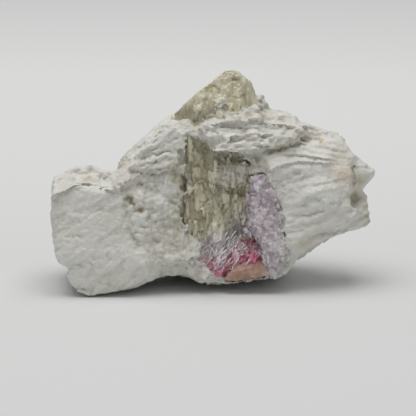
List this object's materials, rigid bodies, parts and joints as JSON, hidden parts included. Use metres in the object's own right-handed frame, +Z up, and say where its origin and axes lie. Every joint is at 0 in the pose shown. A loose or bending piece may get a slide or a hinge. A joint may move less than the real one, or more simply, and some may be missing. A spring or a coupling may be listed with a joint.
{
  "type": "watermelon tourmaline crystal in albite matrix",
  "caption": "Loose mineral specimen: a stout olive-green tourmaline crystal with a pink foot, grown in white albite, with a lilac mica seam and a peach feldspar slab.",
  "frame": {"origin": "on the table, under the middle of the piece's bounding box", "axes": "+Z up as it rests, +X across its broad face towards the thin end of the wedge, -Y the side that shows the crystal"},
  "size_m": [0.081, 0.0436, 0.0531],
  "materials": {
    "albite": "rough white cleaved feldspar",
    "tourmaline": "glassy, striated and splintered, olive green to pink",
    "lepidolite": "sparkling fine mica grains",
    "peach_feldspar": "satin cleaved feldspar"
  },
  "bodies": {
    "root": {"albite_matrix": "albite", "tourmaline_crystal": "tourmaline", "lepidolite_seam": "lepidolite", "peach_feldspar": "peach_feldspar"}
  },
  "joints": []
}
